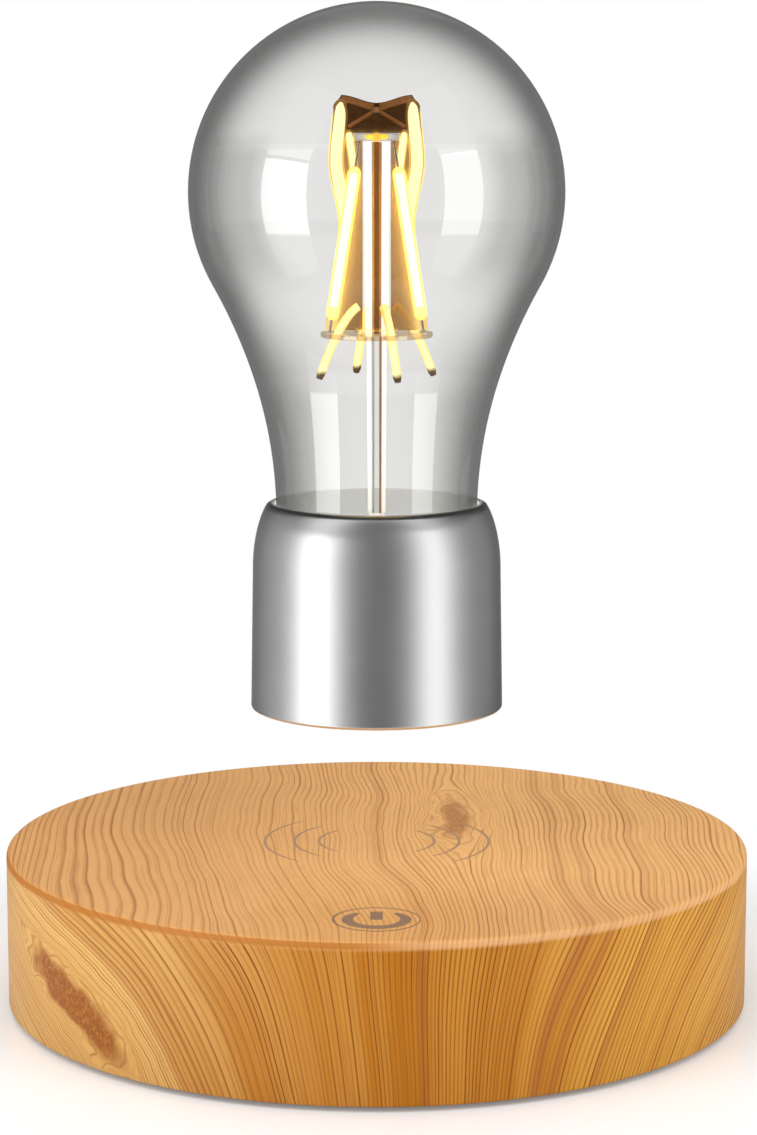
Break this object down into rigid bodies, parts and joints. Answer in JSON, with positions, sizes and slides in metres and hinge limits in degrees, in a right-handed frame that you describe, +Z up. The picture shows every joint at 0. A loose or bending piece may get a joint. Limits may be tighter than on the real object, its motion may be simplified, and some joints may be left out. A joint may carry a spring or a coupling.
{
  "type": "levitating lamp",
  "caption": "Clear filament bulb in a silver collar that hovers and turns above a round wood-look base with a touch switch and wireless power.",
  "frame": {"origin": "on the table under the middle of the base", "axes": "+Z up along the hovering bulb's axis, -Y towards the touch sign, +Y towards the DC jack"},
  "size_m": [0.125, 0.125, 0.1669],
  "materials": {
    "wood_print": "satin wood-look print",
    "black_cover": "fine matt texture",
    "foot_rubber": "matt",
    "screw_steel": "zinc plated",
    "circuit_board": "solder mask",
    "ferrite": "sintered",
    "copper_winding": "enamelled copper wire",
    "black_plastic": "moulded",
    "aluminium": "extruded",
    "capacitor_sleeve": "sleeved can",
    "silver_paint": "satin silver lacquer",
    "nickel_magnet": "nickel plated",
    "white_moulding": "moulded",
    "seal_silicone": "cured silicone",
    "clear_glass": "clear, fire polished",
    "amber_guide": "clear amber, lit at its edges",
    "filament_phosphor": "glowing phosphor"
  },
  "bodies": {
    "base": {"base_shell": "wood_print", "base_cover": "black_cover", "rubber_foot_1": "foot_rubber", "rubber_foot_2": "foot_rubber", "rubber_foot_3": "foot_rubber", "rubber_foot_4": "foot_rubber", "cover_screw_1": "screw_steel", "cover_screw_2": "screw_steel", "cover_screw_3": "screw_steel", "cover_screw_4": "screw_steel", "main_board": "circuit_board", "ring_magnet": "ferrite", "levitation_coil_1": "copper_winding", "levitation_coil_2": "copper_winding", "levitation_coil_3": "copper_winding", "levitation_coil_4": "copper_winding", "coil_core_1": "screw_steel", "coil_core_2": "screw_steel", "coil_core_3": "screw_steel", "coil_core_4": "screw_steel", "hall_sensor_block": "black_plastic", "transmitter_coil": "copper_winding", "touch_electrode": "copper_winding", "touch_spring": "screw_steel", "dc_jack": "black_plastic", "capacitor_1": "capacitor_sleeve", "capacitor_2": "capacitor_sleeve", "power_inductor": "ferrite", "heat_sink": "aluminium", "driver_chip_1": "black_plastic", "driver_chip_2": "black_plastic"},
    "levitator": {"lift_magnet": "nickel_magnet"},
    "bulb": {"collar_shell": "silver_paint", "collar_cap": "black_plastic", "receiver_coil": "copper_winding", "ferrite_disc": "ferrite", "magnet_holder": "white_moulding", "driver_board": "circuit_board", "filter_capacitor": "capacitor_sleeve", "control_chip": "black_plastic", "neck_seal": "seal_silicone", "glass_bulb": "clear_glass", "glass_stem": "clear_glass", "lead_wire_1": "copper_winding", "lead_wire_2": "copper_winding", "crown_disc": "clear_glass", "support_disc": "clear_glass", "filament_1": "filament_phosphor", "filament_2": "filament_phosphor", "filament_3": "filament_phosphor", "filament_4": "filament_phosphor", "light_guide": "amber_guide"}
  },
  "joints": [
    {"name": "lift", "type": "slide", "parent": "base", "child": "levitator", "axis": [0, 0, 1], "range_m": [-0.0232, 0.03], "stiffness_N_per_m": 400, "springref_m": 0.00305},
    {"name": "bulb_spin", "type": "hinge", "parent": "levitator", "child": "bulb", "pos_m": [0, 0, 0.0596], "axis": [0, 0, 1], "continuous": true}
  ]
}
